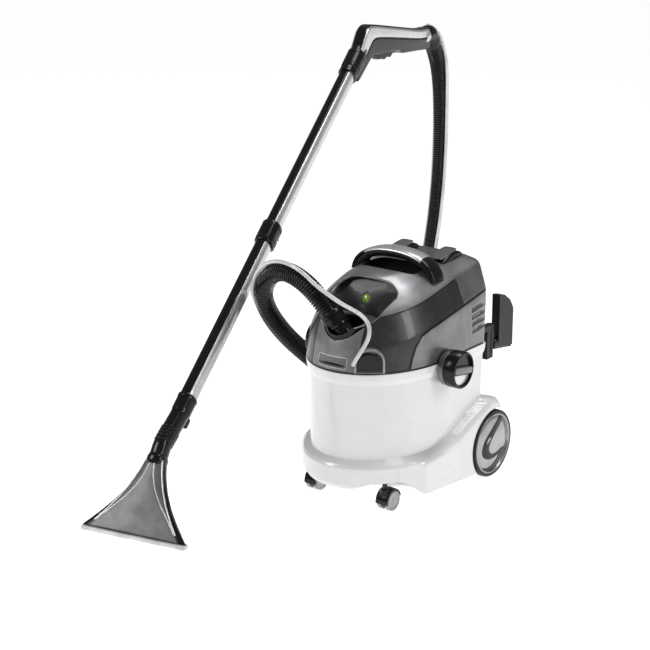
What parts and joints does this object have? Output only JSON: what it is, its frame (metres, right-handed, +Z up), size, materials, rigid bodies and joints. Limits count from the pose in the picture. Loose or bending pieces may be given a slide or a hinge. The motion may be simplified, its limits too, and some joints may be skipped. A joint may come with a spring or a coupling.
{
  "type": "carpet cleaner machine",
  "caption": "Spray-extraction carpet cleaner: wheeled tub with lift-off suction head, corrugated hose with spray line, two-tube wand and wide floor nozzle.",
  "frame": {"origin": "on the floor, in the machine's middle plane, under the middle of the container", "axes": "+Z up, -Y the front with the hose inlet, +X the side away from the wand"},
  "size_m": [0.6844, 1.4737, 0.824],
  "materials": {
    "white_shell": "gloss moulded plastic",
    "hood_grey": "metallic satin",
    "panel_dark": "satin",
    "base_grey": "satin",
    "black_trim": "gloss",
    "black_matte": "matte",
    "seal_rubber": "matte",
    "silver_plastic": "metallic satin",
    "switch_grey": "satin",
    "lens_green": "clear tinted",
    "wheel_grey": "metallic satin",
    "tyre_black": "matte",
    "caster_grey": "satin",
    "axle_steel": "brushed",
    "tank_grey": "satin",
    "tube_grey": "satin",
    "window_clear": "clear tinted",
    "lip_white": "satin",
    "hose_black": "corrugated, semi-gloss",
    "line_clear": "translucent",
    "motor_metal": "satin"
  },
  "bodies": {
    "container": {"container_tub": "white_shell", "chassis": "white_shell", "rear_axle": "axle_steel", "waste_tank": "tank_grey", "deck_screws": "axle_steel"},
    "wheel_left": {"wheel_left": "wheel_grey", "tyre_left": "tyre_black"},
    "wheel_right": {"wheel_right": "wheel_grey", "tyre_right": "tyre_black"},
    "caster_left": {"caster_hood_left": "black_trim"},
    "caster_right": {"caster_hood_right": "black_trim"},
    "caster_left_wheels": {"caster_wheels_left": "caster_grey"},
    "caster_right_wheels": {"caster_wheels_right": "caster_grey"},
    "head": {"head_base": "base_grey", "rim_seal": "seal_rubber", "front_hood": "hood_grey", "side_panel_left": "panel_dark", "side_panel_right": "panel_dark", "rear_housing": "base_grey", "rear_cover": "hood_grey", "recess_tray": "black_matte", "carry_handle": "silver_plastic", "handle_grip": "black_matte", "eye_panel": "panel_dark", "indicator_lens": "lens_green", "inlet_bowl": "black_trim", "hose_elbow": "black_trim", "hose_collar": "black_trim", "spray_connector": "black_trim", "motor_can": "motor_metal", "float_cage": "black_matte", "spray_pump": "motor_metal", "intake_pipe": "tank_grey", "cord_gland": "black_matte", "hook_base": "black_matte", "lower_tube": "tube_grey", "upper_tube": "tube_grey", "tube_sleeve": "black_trim", "nozzle_window": "window_clear", "nozzle_back": "black_trim", "nozzle_lip": "lip_white", "nozzle_neck": "black_trim", "spray_jet": "black_matte", "handle_body": "black_trim", "handle_top": "silver_plastic", "hose_cuff": "black_trim", "suction_hose": "hose_black", "spray_line": "line_clear"},
    "latch_left": {"latch_knob_left": "black_trim"},
    "latch_right": {"latch_knob_right": "black_trim"},
    "release": {"release_button": "base_grey"},
    "suction_button": {"suction_switch": "switch_grey"},
    "spray_button": {"spray_switch": "black_trim"},
    "hook": {"hook_arm": "black_matte"},
    "fan": {"suction_fan": "axle_steel"},
    "float_valve": {"float": "lip_white"},
    "trigger": {"spray_trigger": "black_matte"},
    "latch_low": {"nozzle_latch": "black_trim"},
    "latch_mid": {"lower_latch": "black_trim"},
    "latch_high": {"upper_latch": "black_trim"}
  },
  "joints": [
    {"name": "head_lift", "type": "slide", "parent": "container", "child": "head", "axis": [0, 0, 1], "range_m": [0, 0.25]},
    {"name": "wheel_left_spin", "type": "hinge", "parent": "container", "child": "wheel_left", "pos_m": [-0.14, 0.1608, 0.0688], "axis": [1, 0, 0], "continuous": true},
    {"name": "wheel_right_spin", "type": "hinge", "parent": "container", "child": "wheel_right", "pos_m": [0.14, 0.1608, 0.0688], "axis": [1, 0, 0], "continuous": true},
    {"name": "caster_left_swivel", "type": "hinge", "parent": "container", "child": "caster_left", "pos_m": [-0.086, -0.118, 0.05], "axis": [0, 0, 1], "continuous": true},
    {"name": "caster_right_swivel", "type": "hinge", "parent": "container", "child": "caster_right", "pos_m": [0.086, -0.118, 0.05], "axis": [0, 0, 1], "continuous": true},
    {"name": "caster_left_roll", "type": "hinge", "parent": "caster_left", "child": "caster_left_wheels", "pos_m": [-0.086, -0.106, 0.02], "axis": [1, 0, 0], "continuous": true},
    {"name": "caster_right_roll", "type": "hinge", "parent": "caster_right", "child": "caster_right_wheels", "pos_m": [0.086, -0.106, 0.02], "axis": [1, 0, 0], "continuous": true},
    {"name": "latch_left_turn", "type": "hinge", "parent": "head", "child": "latch_left", "pos_m": [-0.16, 0.009, 0.268], "axis": [-1, 0, 0], "range_deg": [0, 90]},
    {"name": "latch_right_turn", "type": "hinge", "parent": "head", "child": "latch_right", "pos_m": [0.16, 0.009, 0.268], "axis": [1, 0, 0], "range_deg": [0, 90]},
    {"name": "release_press", "type": "slide", "parent": "head", "child": "release", "axis": [0, 1, 0], "range_m": [0, 0.003], "stiffness_N_per_m": 300},
    {"name": "suction_press", "type": "slide", "parent": "head", "child": "suction_button", "axis": [0, 0, -1], "range_m": [0, 0.004], "stiffness_N_per_m": 400},
    {"name": "spray_press", "type": "slide", "parent": "head", "child": "spray_button", "axis": [0, 0, -1], "range_m": [0, 0.004], "stiffness_N_per_m": 400},
    {"name": "hook_swing", "type": "hinge", "parent": "head", "child": "hook", "pos_m": [0.11, 0.206, 0.265], "axis": [0, 0, 1], "range_deg": [-90, 90]},
    {"name": "fan_spin", "type": "hinge", "parent": "head", "child": "fan", "pos_m": [0, 0.02, 0.34], "axis": [0, 0, 1], "continuous": true},
    {"name": "float_rise", "type": "slide", "parent": "head", "child": "float_valve", "axis": [0, 0, 1], "range_m": [0, 0.02]},
    {"name": "trigger_pull", "type": "hinge", "parent": "head", "child": "trigger", "pos_m": [-0.42711, 0.62311, 0.753], "axis": [-0.9813, -0.1925, 0], "range_deg": [0, 4], "stiffness_Nm_per_rad": 1},
    {"name": "nozzle_latch_press", "type": "slide", "parent": "head", "child": "latch_low", "axis": [0.114, -0.5809, 0.8059], "range_m": [0, 0.002], "stiffness_N_per_m": 400},
    {"name": "tube_latch_press", "type": "slide", "parent": "head", "child": "latch_mid", "axis": [0.114, -0.5809, 0.8059], "range_m": [0, 0.002], "stiffness_N_per_m": 400},
    {"name": "handle_latch_press", "type": "slide", "parent": "head", "child": "latch_high", "axis": [0.114, -0.5809, 0.8059], "range_m": [0, 0.002], "stiffness_N_per_m": 400}
  ]
}
